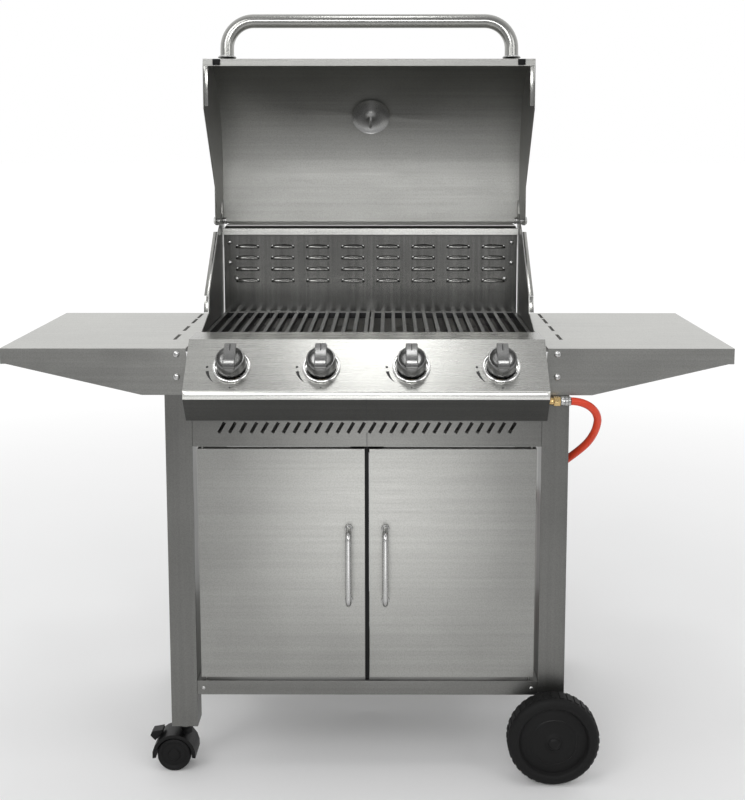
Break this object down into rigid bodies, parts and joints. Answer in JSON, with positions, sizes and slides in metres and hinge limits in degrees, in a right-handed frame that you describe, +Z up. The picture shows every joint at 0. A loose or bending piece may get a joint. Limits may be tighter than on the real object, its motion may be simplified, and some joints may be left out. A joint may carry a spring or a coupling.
{
  "type": "gas barbecue grill",
  "caption": "Cabinet-type gas barbecue on wheels and castors, with a hinged roll-back lid, side tables, slanted control panel, twin doors and a rubber gas hose.",
  "frame": {"origin": "on the ground, under the middle of the bounding box with the lid open, without the hose", "axes": "+Z up, +X to the right of the cook facing the grill, +Y from the cook towards the lid hinge"},
  "size_m": [1.3, 0.5944, 1.4054],
  "materials": {
    "brushed_steel": "brushed stainless sheet",
    "side_steel": "plain stainless sheet",
    "bright_steel": "polished stainless",
    "knob_metal": "metallised moulding with a satin face",
    "aluminised_steel": "dull aluminised steel",
    "firebox_steel": "satin stainless",
    "cast_iron": "matt black enamel",
    "brass": "machined brass",
    "zinc": "die-cast",
    "black_plastic": "moulded black plastic",
    "hose_rubber": "smooth orange-red rubber"
  },
  "bodies": {
    "cart": {"burner_1": "aluminised_steel", "burner_2": "aluminised_steel", "burner_3": "aluminised_steel", "burner_4": "aluminised_steel", "cabinet_floor": "brushed_steel", "control_panel": "bright_steel", "door_catch": "black_plastic", "fascia_panel": "brushed_steel", "firebox": "firebox_steel", "firebox_back_wall": "firebox_steel", "front_left_leg": "brushed_steel", "front_right_leg": "brushed_steel", "gas_hose": "hose_rubber", "gas_hose_coil": "hose_rubber", "gas_manifold": "aluminised_steel", "heat_tent_1": "aluminised_steel", "heat_tent_2": "aluminised_steel", "heat_tent_3": "aluminised_steel", "heat_tent_4": "aluminised_steel", "inlet_fitting": "brass", "knob_bezel_1": "bright_steel", "knob_bezel_2": "bright_steel", "knob_bezel_3": "bright_steel", "knob_bezel_4": "bright_steel", "left_grate": "cast_iron", "left_lid_pin": "bright_steel", "left_side_panel": "side_steel", "left_side_table": "brushed_steel", "rear_left_leg": "brushed_steel", "rear_right_leg": "brushed_steel", "regulator": "zinc", "right_grate": "cast_iron", "right_lid_pin": "bright_steel", "right_side_panel": "side_steel", "right_side_table": "brushed_steel", "wheel_axle": "aluminised_steel"},
    "lid": {"lid": "brushed_steel", "lid_handle": "bright_steel", "lid_thermometer": "bright_steel"},
    "left_door": {"left_door": "brushed_steel", "left_door_handle": "bright_steel"},
    "right_door": {"right_door": "brushed_steel", "right_door_handle": "bright_steel"},
    "grease_tray": {"grease_tray": "aluminised_steel"},
    "front_wheel": {"front_wheel": "black_plastic"},
    "rear_wheel": {"rear_wheel": "black_plastic"},
    "valve_stem_1": {"valve_stem_1": "brass"},
    "control_knob_1": {"control_knob_1": "knob_metal"},
    "valve_stem_2": {"valve_stem_2": "brass"},
    "control_knob_2": {"control_knob_2": "knob_metal"},
    "valve_stem_3": {"valve_stem_3": "brass"},
    "control_knob_3": {"control_knob_3": "knob_metal"},
    "valve_stem_4": {"valve_stem_4": "brass"},
    "control_knob_4": {"control_knob_4": "knob_metal"},
    "front_castor_fork": {"front_castor_fork": "black_plastic"},
    "front_castor_wheel": {"front_castor_wheel": "black_plastic"},
    "front_castor_brake": {"front_castor_brake": "black_plastic"},
    "rear_castor_fork": {"rear_castor_fork": "black_plastic"},
    "rear_castor_wheel": {"rear_castor_wheel": "black_plastic"},
    "rear_castor_brake": {"rear_castor_brake": "black_plastic"}
  },
  "joints": [
    {"name": "lid_hinge", "type": "hinge", "parent": "cart", "child": "lid", "pos_m": [0, 0.1918, 0.99], "axis": [1, 0, 0], "range_deg": [0, 95.7]},
    {"name": "left_door_hinge", "type": "hinge", "parent": "cart", "child": "left_door", "pos_m": [-0.296, -0.2162, 0.395], "axis": [0, 0, -1], "range_deg": [0, 105]},
    {"name": "right_door_hinge", "type": "hinge", "parent": "cart", "child": "right_door", "pos_m": [0.296, -0.2162, 0.395], "axis": [0, 0, 1], "range_deg": [0, 105]},
    {"name": "grease_tray_slide", "type": "slide", "parent": "cart", "child": "grease_tray", "axis": [0, 1, 0], "range_m": [0, 0.3]},
    {"name": "valve_turn_1", "type": "hinge", "parent": "cart", "child": "valve_stem_1", "pos_m": [-0.23625, -0.2502, 0.763], "axis": [0, -0.7071, 0.7071], "range_deg": [0, 135]},
    {"name": "knob_push_1", "type": "slide", "parent": "valve_stem_1", "child": "control_knob_1", "axis": [0, 0.7071, -0.7071], "range_m": [0, 0.003], "stiffness_N_per_m": 1500, "springref_m": -0.002},
    {"name": "valve_turn_2", "type": "hinge", "parent": "cart", "child": "valve_stem_2", "pos_m": [-0.07875, -0.2502, 0.763], "axis": [0, -0.7071, 0.7071], "range_deg": [0, 135]},
    {"name": "knob_push_2", "type": "slide", "parent": "valve_stem_2", "child": "control_knob_2", "axis": [0, 0.7071, -0.7071], "range_m": [0, 0.003], "stiffness_N_per_m": 1500, "springref_m": -0.002},
    {"name": "valve_turn_3", "type": "hinge", "parent": "cart", "child": "valve_stem_3", "pos_m": [0.07875, -0.2502, 0.763], "axis": [0, -0.7071, 0.7071], "range_deg": [0, 135]},
    {"name": "knob_push_3", "type": "slide", "parent": "valve_stem_3", "child": "control_knob_3", "axis": [0, 0.7071, -0.7071], "range_m": [0, 0.003], "stiffness_N_per_m": 1500, "springref_m": -0.002},
    {"name": "valve_turn_4", "type": "hinge", "parent": "cart", "child": "valve_stem_4", "pos_m": [0.23625, -0.2502, 0.763], "axis": [0, -0.7071, 0.7071], "range_deg": [0, 135]},
    {"name": "knob_push_4", "type": "slide", "parent": "valve_stem_4", "child": "control_knob_4", "axis": [0, 0.7071, -0.7071], "range_m": [0, 0.003], "stiffness_N_per_m": 1500, "springref_m": -0.002},
    {"name": "front_wheel_spin", "type": "hinge", "parent": "cart", "child": "front_wheel", "pos_m": [0.336, -0.2597, 0.083], "axis": [0, 1, 0], "continuous": true},
    {"name": "rear_wheel_spin", "type": "hinge", "parent": "cart", "child": "rear_wheel", "pos_m": [0.336, 0.2333, 0.083], "axis": [0, 1, 0], "continuous": true},
    {"name": "front_castor_swivel", "type": "hinge", "parent": "cart", "child": "front_castor_fork", "pos_m": [-0.336, -0.20495, 0.086], "axis": [0, 0, 1], "continuous": true},
    {"name": "front_castor_roll", "type": "hinge", "parent": "front_castor_fork", "child": "front_castor_wheel", "pos_m": [-0.357, -0.20495, 0.031], "axis": [0, 1, 0], "continuous": true},
    {"name": "front_castor_brake_hinge", "type": "hinge", "parent": "front_castor_fork", "child": "front_castor_brake", "pos_m": [-0.38111, -0.20495, 0.06959], "axis": [0, 1, 0], "range_deg": [0, 15]},
    {"name": "rear_castor_swivel", "type": "hinge", "parent": "cart", "child": "rear_castor_fork", "pos_m": [-0.336, 0.1783, 0.086], "axis": [0, 0, 1], "continuous": true},
    {"name": "rear_castor_roll", "type": "hinge", "parent": "rear_castor_fork", "child": "rear_castor_wheel", "pos_m": [-0.357, 0.1783, 0.031], "axis": [0, 1, 0], "continuous": true},
    {"name": "rear_castor_brake_hinge", "type": "hinge", "parent": "rear_castor_fork", "child": "rear_castor_brake", "pos_m": [-0.38111, 0.1783, 0.06959], "axis": [0, 1, 0], "range_deg": [0, 15]}
  ]
}
